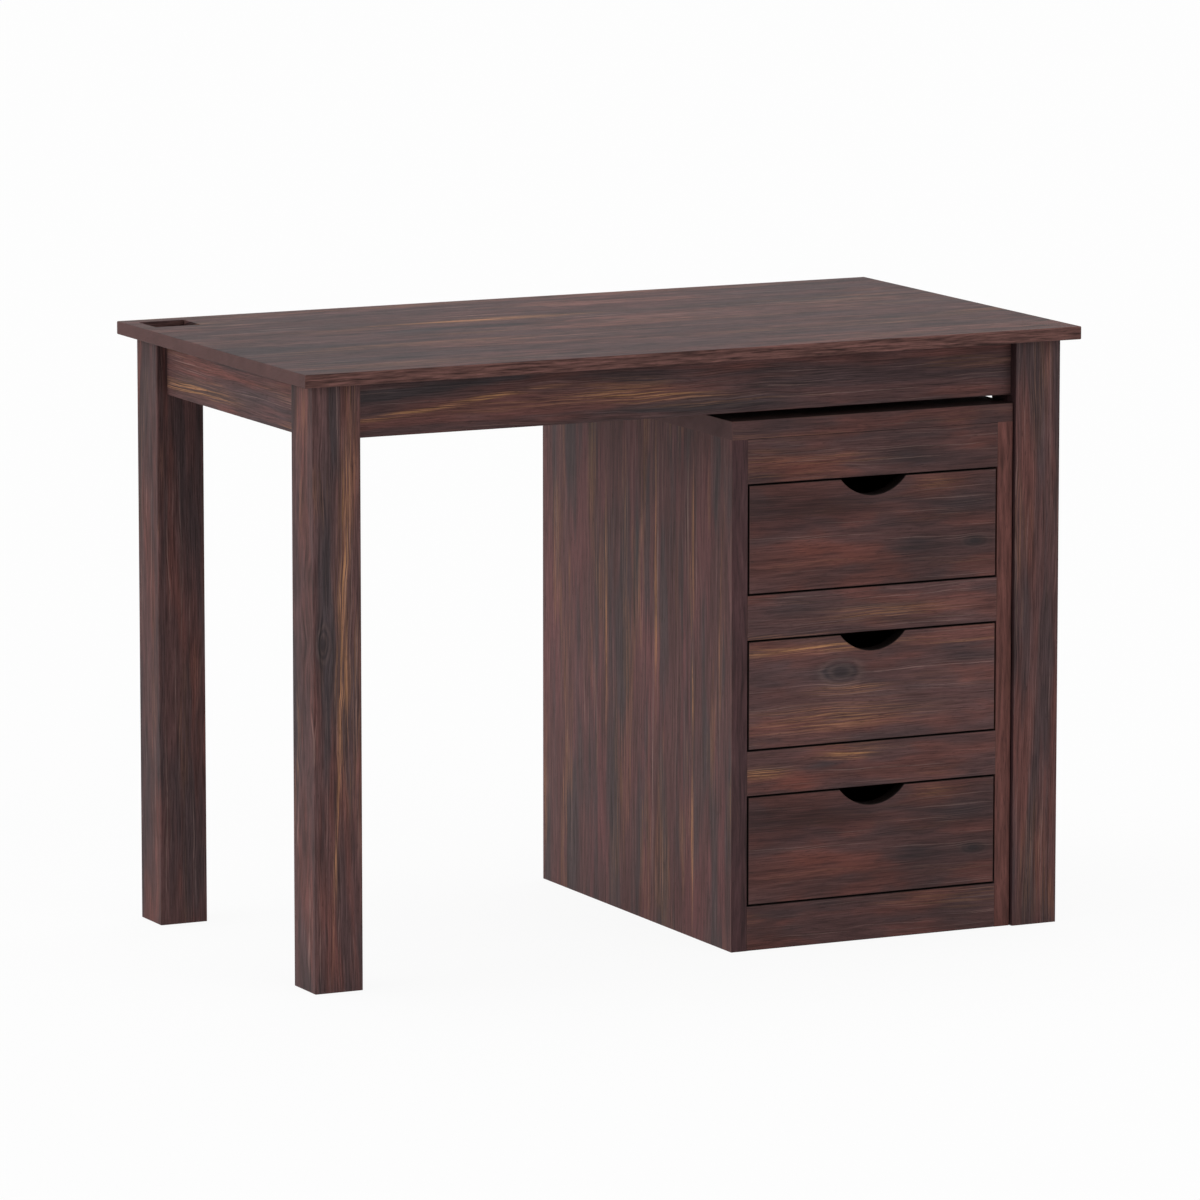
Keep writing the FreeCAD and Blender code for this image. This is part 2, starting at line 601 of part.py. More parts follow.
def make_box_side(label, hand, floor, dowel_heights):
    """Drawer side with a groove for the bottom panel, a dado for the back and two dowel holes."""
    x = f"{PEDESTAL_MID_X} - {signed(hand, FRONT_WIDTH + ' / 2')}"
    body = body_at(label, (x, f"{PEDESTAL_Y} + front_thick", floor))
    box(body, ("box_side_thick", BOX_LENGTH, BOX_HEIGHT),
        (side_span(hand, "0", "box_side_thick"), "0", "0"))
    box(body, ("groove_depth + overrun", f"{BOX_LENGTH} + 2 * overrun", "bottom_thick + joint_gap"),
        (side_span(hand, "box_side_thick - groove_depth", "box_side_thick + overrun"),
         "-overrun", "bottom_lift"), cut=True)
    box(body, ("dado_depth + overrun", "box_back_thick + 2 * joint_gap", f"{BOX_HEIGHT} - bottom_lift"),
        (side_span(hand, "box_side_thick - dado_depth", "box_side_thick + overrun"),
         f"{BOX_BACK_Y} - joint_gap", "bottom_lift + overrun"), cut=True)
    for height in dowel_heights:
        bore(body, (signed(hand, "box_side_thick / 2"), "-overrun", height), "+Y", BOX_DOWEL_HOLE,
             f"overrun + box_dowel_length - {FRONT_BITE} + joint_gap")


def write_parts():
    """Check every object and every shape, then write one STEP file for each piece."""
    doc.recompute()
    failed = [item.Label for item in doc.Objects if {"Invalid", "Error"} & set(item.State)]
    if failed:
        raise RuntimeError("objects failed: " + ", ".join(failed))
    for node in nodes:
        if node.Shape.isNull() or not node.Shape.isValid() or not node.Shape.Solids:
            raise RuntimeError("bad shape: " + node.Label)
    os.makedirs("parts", exist_ok=True)
    for node in nodes:
        node.Shape.exportStep(f"parts/{node.Label}.step")
    print(len(nodes), "pieces written")


make_sheet()
make_top()
make_legs()
make_aprons()
make_corner_blocks()
make_frame_screws()
make_pedestal_sides()
make_pedestal_top()
make_pedestal_back()
make_rails()
make_runners()
make_pedestal_fasteners()
for drawer_level, drawer_name in enumerate(DRAWERS):
    make_drawer(drawer_name, drawer_level)
write_parts()
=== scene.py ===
"""Study table of stained hardwood with a pedestal of three drawers, in metres.

+X runs along the top, -Y is the front and +Z is up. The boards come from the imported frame. Here each
board gets its own grain and stain, real screws go into their holes, and the table stands in a white studio.
"""

import logging
import math
import random
from dataclasses import dataclass, replace
from enum import Enum
from typing import Any, Sequence, Union

import bpy
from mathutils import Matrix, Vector


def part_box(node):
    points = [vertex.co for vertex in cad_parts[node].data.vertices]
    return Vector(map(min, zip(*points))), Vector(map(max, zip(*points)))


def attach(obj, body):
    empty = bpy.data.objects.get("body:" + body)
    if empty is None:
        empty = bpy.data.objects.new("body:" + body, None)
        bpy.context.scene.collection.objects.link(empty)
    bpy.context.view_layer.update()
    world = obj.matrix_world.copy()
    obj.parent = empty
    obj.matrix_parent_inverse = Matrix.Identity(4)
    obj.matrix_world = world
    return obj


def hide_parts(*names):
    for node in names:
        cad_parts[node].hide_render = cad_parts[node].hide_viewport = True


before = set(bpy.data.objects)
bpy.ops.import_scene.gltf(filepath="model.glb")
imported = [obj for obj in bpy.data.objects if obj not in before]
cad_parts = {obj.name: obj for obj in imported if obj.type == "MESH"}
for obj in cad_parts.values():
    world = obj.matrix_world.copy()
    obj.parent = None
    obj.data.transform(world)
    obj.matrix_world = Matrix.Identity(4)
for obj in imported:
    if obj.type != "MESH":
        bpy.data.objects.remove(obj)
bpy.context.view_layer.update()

LOG = logging.getLogger("study_table")

Colour = tuple[int, int, int]
LinearColour = tuple[float, float, float, float]
Operand = Union["Value", float]
Paint = Union["Value", LinearColour]
Corner = tuple[float, ...]

# how a screen's numbers turn into light
SCREEN_FULL = 255
SCREEN_KNEE = 0.04045
SCREEN_SLOPE = 12.92
SCREEN_LIFT = 0.055
SCREEN_POWER = 2.4

WHITE: LinearColour = (1.0, 1.0, 1.0, 1.0)

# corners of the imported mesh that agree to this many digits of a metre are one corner
SNAP_DIGITS = 6


def linear(colour: Colour) -> LinearColour:
    """Turn a colour as a screen shows it into the numbers that a shader takes.

    Args:
        colour: red, green and blue from 0 to 255.

    Returns:
        Linear red, green and blue, and a full alpha.
    """
    shares = [channel / SCREEN_FULL for channel in colour]
    red, green, blue = (share / SCREEN_SLOPE if share <= SCREEN_KNEE
                        else ((share + SCREEN_LIFT) / (1 + SCREEN_LIFT)) ** SCREEN_POWER
                        for share in shares)
    return red, green, blue, 1.0


class Value:
    """One output of a node, with maths on it written as Python writes it."""

    def __init__(self, maker: "NodeMaker", socket: bpy.types.NodeSocket) -> None:
        """Wrap an output socket of one of the maker's nodes."""
        self.maker = maker
        self.socket = socket

    def sibling(self, output: str) -> "Value":
        """Return another output of the same node."""
        return Value(self.maker, self.maker.outlet(self.socket.node, output))

    def parts(self) -> list["Value"]:
        """Split a vector into its three numbers."""
        split = self.maker.node("ShaderNodeSeparateXYZ", values={"Vector": self})
        return [split.sibling(name) for name in "XYZ"]

    def smooth(self, low: float, high: float) -> "Value":
        """Return a soft step from 0 at low to 1 at high."""
        return self.maker.node("ShaderNodeMapRange", {"interpolation_type": "SMOOTHSTEP"},
                               {"Value": self, "From Min": low, "From Max": high})

    def __add__(self, other: Operand) -> "Value":
        """Add a number or another value."""
        return self.maker.maths("ADD", self, other)

    def __radd__(self, other: float) -> "Value":
        """Add this value to a number."""
        return self.maker.maths("ADD", other, self)

    def __sub__(self, other: Operand) -> "Value":
        """Take a number or another value away."""
        return self.maker.maths("SUBTRACT", self, other)

    def __rsub__(self, other: float) -> "Value":
        """Take this value away from a number."""
        return self.maker.maths("SUBTRACT", other, self)

    def __mul__(self, other: Operand) -> "Value":
        """Multiply by a number or another value."""
        return self.maker.maths("MULTIPLY", self, other)

    def __rmul__(self, other: float) -> "Value":
        """Multiply a number by this value."""
        return self.maker.maths("MULTIPLY", other, self)

    def __truediv__(self, other: Operand) -> "Value":
        """Divide by a number or another value."""
        return self.maker.maths("DIVIDE", self, other)

    def __rtruediv__(self, other: float) -> "Value":
        """Divide a number by this value."""
        return self.maker.maths("DIVIDE", other, self)

    def __neg__(self) -> "Value":
        """Turn the sign round."""
        return self.maker.maths("MULTIPLY", self, -1.0)

    def __abs__(self) -> "Value":
        """Drop the sign."""
        return self.maker.maths("ABSOLUTE", self)


class NodeMaker:
    """Makes the nodes of one tree and links them."""

    def __init__(self, tree: bpy.types.NodeTree) -> None:
        """Start on an empty tree."""
        self.tree = tree
        self.tree.nodes.clear()

    @staticmethod
    def outlet(node: bpy.types.Node, output: str | None) -> bpy.types.NodeSocket:
        """Return a node's output by its identifier, or its first one."""
        outlets = (socket for socket in node.outputs if output in (None, socket.identifier))
        return next(outlets)

    def node(self, kind: str, settings: dict[str, Any] | None = None, values: dict[str, Any] | None = None,
             output: str | None = None) -> Value | None:
        """Make any node.

        Args:
            kind: the node's type.
            settings: its properties, set first.
            values: what goes into its sockets by identifier: numbers, values, or a list of values.
            output: the identifier of the output that is wanted, or None for the first.

        Returns:
            The output as a value, or None for a node that has no output.
        """
        node = self.tree.nodes.new(kind)
        for name, setting in (settings or {}).items():
            setattr(node, name, setting)
        for name, value in (values or {}).items():
            socket = next(socket for socket in node.inputs if socket.identifier == name)
            links = value if isinstance(value, list) else [value]
            if isinstance(links[0], Value):
                for link in links:
                    self.tree.links.new(link.socket, socket)
            else:
                socket.default_value = value
        return Value(self, self.outlet(node, output)) if node.outputs else None

    def maths(self, operation: str, *operands: Operand) -> Value:
        """Add a Math node on the operands, in their order."""
        values = dict(zip(("Value", "Value_001"), operands))
        return self.node("ShaderNodeMath", {"operation": operation}, values)

    def vector(self, x: Operand, y: Operand, z: Operand) -> Value:
        """Join three numbers or values into a vector."""
        return self.node("ShaderNodeCombineXYZ", values={"X": x, "Y": y, "Z": z})


class Shader(NodeMaker):
    """The nodes of one material."""

    NOISE_MIDDLE = 0.5

    def __init__(self, name: str) -> None:
        """Make an empty material.

        Args:
            name: the material's name.
        """
        self.material = bpy.data.materials.new(name)
        self.material.use_nodes = True
        super().__init__(self.material.node_tree)

    def swing(self, noise: Operand, share: float) -> Operand:
        """Return how far a noise lies from its middle, times a share."""
        return (noise - self.NOISE_MIDDLE) * share

    def mix(self, share: Operand, first: Paint, second: Paint) -> Value:
        """Blend two colours, from the first at 0 to the second at 1."""
        return self.node("ShaderNodeMix", {"data_type": "RGBA"},
                         {"Factor_Float": share, "A_Color": first, "B_Color": second}, "Result_Color")

    def scaled(self, colour: Value, factor: Operand) -> Value:
        """Make a colour lighter or darker by a factor."""
        return self.node("ShaderNodeVectorMath", {"operation": "SCALE"},
                         {"Vector": colour, "Scale": factor})

    def surface(self, shading: Value) -> None:
        """End the material in this shading."""
        self.node("ShaderNodeOutputMaterial", values={"Surface": shading})


class Grain(Enum):
    """How a board lies: the axes along its grain, across its face and through its thickness."""

    LONG = (0, 2, 1)
    FLAT = (0, 1, 2)
    DEEP = (1, 2, 0)
    POST = (2, 0, 1)
    PANEL = (2, 1, 0)


class Tone(Enum):
    """A colour that shows in the grain. The near-black gap tone is no colour of the wood but painted shade
    on sides that face into gaps; the wine tone also serves as painted shade on a few sides.
    """

    RUSSET = "russet"
    CHARCOAL = "charcoal"
    GOLD = "gold"
    PALE = "pale"
    WINE = "wine"
    END = "end"
    BLACK = "black"


@dataclass(frozen=True)
class Figure:
    """A drawn-out patch of one tone, placed from the middle of a board's face, in metres.

    Its slope is how far it climbs across the board in a metre along it.
    """

    tone: Tone
    along: float
    across: float
    length: float
    width: float
    share: float = 1.0
    slope: float = 0.0


@dataclass(frozen=True)
class Knot:
    """A knot that the grain flows round, placed from the middle of a board's face, in metres.

    Its rim is how strongly its pale ring lines show, and its turns are how close they lie.
    """

    along: float
    across: float
    length: float
    width: float
    spread: float = 0.75
    dark: float = 0.30
    rim: float = 0.8
    turns: float = 14.0


@dataclass(frozen=True)
class Hollow:
    """A round cut into a board, centred from the middle of its face, in metres; its rim gets painted shade.
    """

    along: float
    across: float
    radius: float


class Side(Enum):
    """A narrow side of a board: its axis out of along and across, and which end of that axis."""

    FIRST_END = (0, -1.0)
    LAST_END = (0, 1.0)
    LOW_EDGE = (1, -1.0)
    HIGH_EDGE = (1, 1.0)


@dataclass(frozen=True)
class Board:
    """One board: the node that holds it, how its grain lies, and what shows in its face.

    A board that is cut from the same plank as another one names it in runs_on and has its seed.
    """

    node: str
    grain: Grain
    seed: int
    staves: int = 1
    tone: float = 1.0
    marks: tuple[Figure | Knot | Hollow, ...] = ()
    # narrow sides with a tone of their own; the near-black gap tone on them, and the wine on some, is
    # painted shade
    sides: tuple[tuple[Side, Tone], ...] = ()
    runs_on: str | None = None


@dataclass(frozen=True)
class Layer:
    """A pattern in the grain: the length and width of its marks in metres, and how much of it shows."""

    length: float
    width: float
    detail: float = 2.0
    low: float = 0.4
    high: float = 0.7
    share: float = 1.0


@dataclass(frozen=True)
class WoodFinish:
    """A finish on solid wood: the tones of its grain and the patterns that they follow, and a near-black
    painted shade for the sides that face into gaps.
    """

    name: str
    body: Colour = (82, 58, 57)
    russet: Colour = (98, 61, 56)
    charcoal: Colour = (59, 50, 52)
    gold: Colour = (152, 109, 77)
    pale: Colour = (128, 104, 98)
    pore: Colour = (42, 31, 31)
    end: Colour = (78, 56, 54)
    wine: Colour = (53, 35, 37)
    # painted shade: near-black for the sides of boards that face into the gaps between parts, and for the
    # rims of finger cuts
    black: Colour = (22, 15, 14)
    worn: Colour = (104, 78, 72)
    sway: Layer = Layer(0.5, 0.12, share=0.018)
    ripple: Layer = Layer(0.09, 0.02, share=0.007)
    cloud: Layer = Layer(0.22, 0.03, low=0.46, high=0.62, share=0.7)
    band: Layer = Layer(0.26, 0.018, detail=3.0, low=0.44, high=0.62, share=0.66)
    patch: Layer = Layer(0.24, 0.03, low=0.52, high=0.68, share=0.3)
    thread: Layer = Layer(0.11, 0.0012, low=0.47, high=0.6, share=0.75)
    hair: Layer = Layer(0.22, 0.0016, detail=1.0, low=0.64, high=0.72, share=0.4)
    streak: Layer = Layer(0.11, 0.006, detail=3.0, share=0.9)
    fibre: Layer = Layer(0.05, 0.0015, share=2.1)
    pores: Layer = Layer(0.013, 0.0007, detail=1.0, low=0.6, high=0.7, share=0.5)
    wear: Layer = Layer(0.05, 0.003, share=0.2)
    blotch: Layer = Layer(0.14, 0.04, share=0.5)
    thread_gold: float = 1.5
    haze_gold: float = 0.1
    end_depth: float = 0.0008
    end_share: float = 0.7
    tilt: float = 0.5
    side_depth: float = 0.0011
    side_share: float = 0.9
    roughness: float = 0.62
    fibre_rough: float = 0.2
    pore_rough: float = 0.1
    worn_smooth: float = 0.08
    specular: float = 0.12
    relief: float = 0.0003
    relief_share: float = 0.6
    fibre_rise: float = 0.6

    def colour(self, tone: Tone) -> LinearColour:
        """Return a tone of the grain as a shader takes it."""
        return linear(getattr(self, tone.value))


class WoodShader(Shader):
    """The grain and finish of one board, worked out from each point's place in the board."""

    STAVE_APART = 40.0
    STAVE_TONE = 0.16
    DRIFT = 50.0
    LEAST_LEAN = 0.5
    KNOT_WOBBLE = 0.5

    def __init__(self, finish: WoodFinish, board: Board) -> None:
        """Measure the board and lay its grain.

        Args:
            finish: the tones and patterns of the wood.
            board: the board that is dressed.
        """
        super().__init__(f"{finish.name}_{board.node}")
        self.finish = finish
        self.board = board
        self.chance = random.Random(board.seed)
        axes = board.grain.value
        low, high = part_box(board.node)
        middle, half = (low + high) / 2, (high - low) / 2
        start = sum(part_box(board.runs_on or board.node), Vector()) / 2
        point = self.node("ShaderNodeTexCoord", output="Object").parts()
        self.half = [half[axis] for axis in axes]
        self.spot = [point[axis] - middle[axis] for axis in axes]
        self.along, self.across, self.through = self.spot
        shift = [middle[axis] - start[axis] for axis in axes]
        self.place = self.vector(*(spot + step for spot, step in zip(self.spot, shift)))

        lean, self.tint, apart = self.draws()
        sway, ripple = (self.swing(self.noise(self.place, layer), layer.share)
                        for layer in (finish.sway, finish.ripple))
        self.aside = self.across + ripple
        self.knots = {mark: self.blot(mark, self.aside) for mark in board.marks if isinstance(mark, Knot)}
        ring = self.place.parts()[1] + sway + ripple + self.through * (lean + self.LEAST_LEAN) * finish.tilt
        for knot, blot in self.knots.items():
            ring = ring - (self.aside - knot.across) * blot * knot.spread
        self.rings = self.vector(self.along, ring, apart * self.STAVE_APART)
        self.streak, self.fibre = (self.noise(self.rings, layer) for layer in (finish.streak, finish.fibre))
        self.end = (self.half[0] - abs(self.along)).smooth(finish.end_depth, 0.0) * finish.end_share

    def noise(self, place: Value, layer: Layer) -> Value:
        """Make noise with marks of a layer's size, unlike any other layer's.

        Args:
            place: where a point lies.
            layer: the layer that gives the size of the marks.

        Returns:
            The noise, from about 0.2 to 0.8.
        """
        stretch = (1 / layer.length, 1 / layer.width, 1 / layer.width)
        drift = tuple(self.chance.uniform(-self.DRIFT, self.DRIFT) for _ in stretch)
        spot = self.node("ShaderNodeVectorMath", {"operation": "MULTIPLY_ADD"},
                         {"Vector": place, "Vector_001": stretch, "Vector_002": drift})
        return self.node("ShaderNodeTexNoise",
                         values={"Vector": spot, "Scale": 1.0, "Detail": layer.detail})

    def cover(self, place: Value, layer: Layer) -> Value:
        """Return where a layer's marks lie and how strongly they show."""
        return self.noise(place, layer).smooth(layer.low, layer.high) * layer.share

    def draws(self) -> Sequence[Operand]:
        """Draw what makes one board or stave unlike the next.

        Returns:
            Three chances from 0 to 1, one set for the board or one for each of its staves.
        """
        if self.board.staves == 1:
            return [self.chance.random() for _ in range(3)]
        width = 2 * self.half[1] / self.board.staves
        number = self.maths("FLOOR", self.across / width + self.board.staves / 2)
        draw = self.node("ShaderNodeTexWhiteNoise", {"noise_dimensions": "1D"},
                         {"W": number + float(self.board.seed)}, "Color")
        return draw.parts()

    def blot(self, mark: Figure | Knot, aside: Value) -> Value:
        """Make a soft oval that is as long and wide as a mark.

        Args:
            mark: the mark.
            aside: where a point lies across the board.

        Returns:
            The oval, 1 in its middle.
        """
        run = (self.along - mark.along) / mark.length
        rise = (aside - mark.across) / mark.width
        return self.maths("EXPONENT", -(run * run + rise * rise))

    def edge(self) -> Value:
        """Work out how near a point is to an edge of the board.

        Returns:
            1 on an edge and 0 a wear's width away from it.
        """
        first, second, third = (half - abs(spot) for half, spot in zip(self.half, self.spot))
        inner = self.maths("MINIMUM", self.maths("MAXIMUM", first, second), third)
        nearest = self.maths("MAXIMUM", self.maths("MINIMUM", first, second), inner)
        return nearest.smooth(self.finish.wear.width, 0.0)

    def siding(self, tone: Tone) -> Operand:
        """Find the sides that have a tone of their own. The rims of round cuts get the near-black painted
        shade too.

        Args:
            tone: the tone that is looked for.

        Returns:
            1 on the sides of that tone and 0 elsewhere.
        """
        axes_and_ends = [side.value for side, side_tone in self.board.sides if side_tone is tone]
        depths = [self.half[axis] - self.spot[axis] * end for axis, end in axes_and_ends]
        for mark in self.board.marks:
            if isinstance(mark, Hollow) and tone is Tone.BLACK:
                run, rise = self.along - mark.along, self.across - mark.across
                depths.append(self.maths("SQRT", run * run + rise * rise) - mark.radius)
        share: Operand = 0.0
        for depth in depths:
            share = self.maths("MAXIMUM", share, depth.smooth(self.finish.side_depth, 0.0))
        return share

    def tones(self) -> dict[Tone, Operand]:
        """Work out where each tone of the grain shows.

        Returns:
            How strongly each tone shows, in the order in which they are laid over each other.
        """
        finish = self.finish
        threads = self.cover(self.rings, finish.thread)
        shares = {
            Tone.RUSSET: self.cover(self.place, finish.cloud),
            Tone.CHARCOAL: self.cover(self.rings, finish.band),
            Tone.GOLD: self.cover(self.place, finish.patch) * threads,
            Tone.PALE: self.cover(self.rings, finish.hair),
            Tone.END: self.end,
        }
        for mark in self.board.marks:
            if isinstance(mark, Figure):
                grainy = threads * finish.thread_gold + finish.haze_gold if mark.tone is Tone.GOLD else 1.0
                aside = self.aside - (self.along - mark.along) * mark.slope
                share = self.blot(mark, aside) * grainy * mark.share
                shares[mark.tone] = share + shares.get(mark.tone, 0.0)
        for knot, blot in self.knots.items():
            wave = self.maths("SINE", (blot + self.streak * self.KNOT_WOBBLE) * knot.turns)
            shares[Tone.CHARCOAL] = shares[Tone.CHARCOAL] + blot
            shares[Tone.PALE] = shares[Tone.PALE] + blot * (1.0 - blot) * ((wave + 1.0) / 2) * knot.rim
        return shares

    def light(self) -> Value:
        """Work out how light or dark the wood is at a point.

        Returns:
            A factor of about 1 for the colour of the grain.
        """
        finish = self.finish
        lines = self.swing(self.streak, finish.streak.share) + self.swing(self.fibre, finish.fibre.share)
        stave = self.swing(self.tint, self.STAVE_TONE) + 1.0
        light = (lines * (1.0 - self.end) + 1.0) * stave * self.board.tone
        for knot, blot in self.knots.items():
            light = light * (1.0 - blot * knot.dark)
        return light * (self.swing(self.noise(self.place, finish.blotch), finish.blotch.share) + 1.0)

    def paint(self) -> bpy.types.Material:
        """Lay the tones over each other and end the material.

        Returns:
            The board's material.
        """
        finish = self.finish
        colour: Paint = linear(finish.body)
        for tone, share in self.tones().items():
            colour = self.mix(share, colour, finish.colour(tone))
        # side tones: russet edges are the wood's own, while the wine on the right front leg's left face and
        # on the pedestal top's upper face is painted shade
        for tone in dict.fromkeys(tone for _, tone in self.board.sides if tone is not Tone.BLACK):
            colour = self.mix(self.siding(tone) * finish.side_share, colour, finish.colour(tone))
        pores = self.cover(self.place, finish.pores)
        worn = self.edge() * self.cover(self.place, finish.wear)
        colour = self.scaled(colour, self.light())
        # pores and worn edges are the wood's own; the near-black laid last is painted shade on gap sides
        # and finger cut rims
        for share, stain in (
            (pores, finish.pore),
            (worn, finish.worn),
            (self.siding(Tone.BLACK), finish.black),
        ):
            colour = self.mix(share, colour, linear(stain))
        rough = (self.swing(self.fibre, finish.fibre_rough) + pores * finish.pore_rough
                 - worn * finish.worn_smooth + finish.roughness)
        normal = self.node("ShaderNodeBump", values={
            "Strength": finish.relief_share, "Distance": finish.relief,
            "Height": self.fibre * finish.fibre_rise - pores})
        self.surface(self.node("ShaderNodeBsdfPrincipled", values={
            "Base Color": colour, "Roughness": rough, "Normal": normal,
            "Specular IOR Level": finish.specular}))
        return self.material


WALNUT_STAIN = WoodFinish("walnut_stain")
BROAD_STAIN = replace(
    WALNUT_STAIN, name="broad_stain", russet=(102, 70, 65), end=(92, 66, 64), end_share=1.0, specular=0.10,
    tilt=2.5,
    cloud=replace(WALNUT_STAIN.cloud, length=0.3, width=0.08),
    band=replace(WALNUT_STAIN.band, length=0.3, width=0.045, share=0.5),
    patch=replace(WALNUT_STAIN.patch, length=0.4, width=0.06),
    thread=replace(WALNUT_STAIN.thread, length=0.3, width=0.005),
    hair=replace(WALNUT_STAIN.hair, length=0.3, width=0.005),
    streak=replace(WALNUT_STAIN.streak, length=0.13, width=0.012, share=1.8),
    fibre=replace(WALNUT_STAIN.fibre, length=0.03, width=0.004, share=3.0))
FRONT_STAIN = replace(
    WALNUT_STAIN, name="front_stain", russet=(104, 62, 55), wine=(54, 36, 37),
    cloud=replace(WALNUT_STAIN.cloud, length=0.11, width=0.035, share=0.5),
    band=replace(WALNUT_STAIN.band, length=0.13, width=0.022, low=0.48, high=0.7, share=0.5),
    streak=replace(WALNUT_STAIN.streak, length=0.1, share=0.6),
    fibre=replace(WALNUT_STAIN.fibre, share=1.6),
    blotch=replace(WALNUT_STAIN.blotch, length=0.12, share=0.9))
CALM_STAIN = replace(
    WALNUT_STAIN, name="calm_stain", russet=(97, 64, 64), charcoal=(60, 55, 56),
    ripple=replace(WALNUT_STAIN.ripple, share=0.004),
    cloud=replace(WALNUT_STAIN.cloud, length=0.3, width=0.05),
    band=replace(WALNUT_STAIN.band, length=0.3, width=0.035, low=0.46, share=0.7),
    patch=replace(WALNUT_STAIN.patch, high=0.66, share=0.5),
    streak=replace(WALNUT_STAIN.streak, length=0.16, share=0.75),
    fibre=replace(WALNUT_STAIN.fibre, length=0.055, share=1.9),
    blotch=replace(WALNUT_STAIN.blotch, length=0.25, width=0.05))
RUDDY_STAIN = replace(CALM_STAIN, russet=WALNUT_STAIN.russet)
# its wine tone (31, 21, 20) is painted shade, laid only on the upper face of the pedestal's top board, in
# the gap under the apron and the table top
SHADED_TOP_STAIN = replace(FRONT_STAIN, name="edge_stain", end=(100, 72, 71), end_share=1.0, wine=(31, 21, 20))
PLANED_INSIDE = WoodFinish(
    "planed_inside", body=(112, 78, 62), russet=(122, 80, 62), charcoal=(96, 68, 57), gold=(138, 102, 78),
    pale=(142, 112, 94), pore=(70, 50, 43), end=(98, 70, 57), worn=(138, 108, 88), roughness=0.7,
    streak=replace(WALNUT_STAIN.streak, length=0.16, share=0.6),
    fibre=replace(WALNUT_STAIN.fibre, length=0.07, share=1.1))
RAW_DOWEL = WoodFinish(
    "raw_dowel", body=(186, 156, 114), russet=(178, 140, 98), charcoal=(158, 128, 92), gold=(204, 176, 132),
    pale=(204, 182, 146), pore=(140, 112, 78), end=(170, 140, 100), worn=(206, 182, 142), roughness=0.75)


@dataclass(frozen=True)
class ZincSteel:
    """Bright zinc on the screws, clouded and finely scratched."""

    bright: Colour = (190, 188, 184)
    clouded: Colour = (150, 146, 136)
    cloud_size: float = 0.0015
    cloud_detail: float = 3.0
    cloud_low: float = 0.35
    cloud_high: float = 0.7
    cloud_rough: float = 0.3
    scratch_size: float = 0.0002
    scratch_detail: float = 1.0
    scratch_rough: float = 0.15
    scratch_relief: float = 0.2
    roughness: float = 0.32

    def paint(self) -> bpy.types.Material:
        """Lay the clouds and scratches over the zinc.

        Returns:
            The material of the screws.
        """
        shader = Shader("zinc_steel")
        place = shader.node("ShaderNodeTexCoord", output="Object")
        cloud = shader.node("ShaderNodeTexNoise", values={
            "Vector": place, "Scale": 1 / self.cloud_size, "Detail": self.cloud_detail})
        scratch = shader.node("ShaderNodeTexNoise", values={
            "Vector": place, "Scale": 1 / self.scratch_size, "Detail": self.scratch_detail})
        colour = shader.mix(cloud.smooth(self.cloud_low, self.cloud_high),
                            linear(self.bright), linear(self.clouded))
        rough = (shader.swing(cloud, self.cloud_rough) + shader.swing(scratch, self.scratch_rough)
                 + self.roughness)
        normal = shader.node("ShaderNodeBump", values={
            "Strength": self.scratch_relief, "Distance": self.scratch_size, "Height": scratch})
        shader.surface(shader.node("ShaderNodeBsdfPrincipled", values={
            "Base Color": colour, "Metallic": 1.0, "Roughness": rough, "Normal": normal}))
        return shader.material


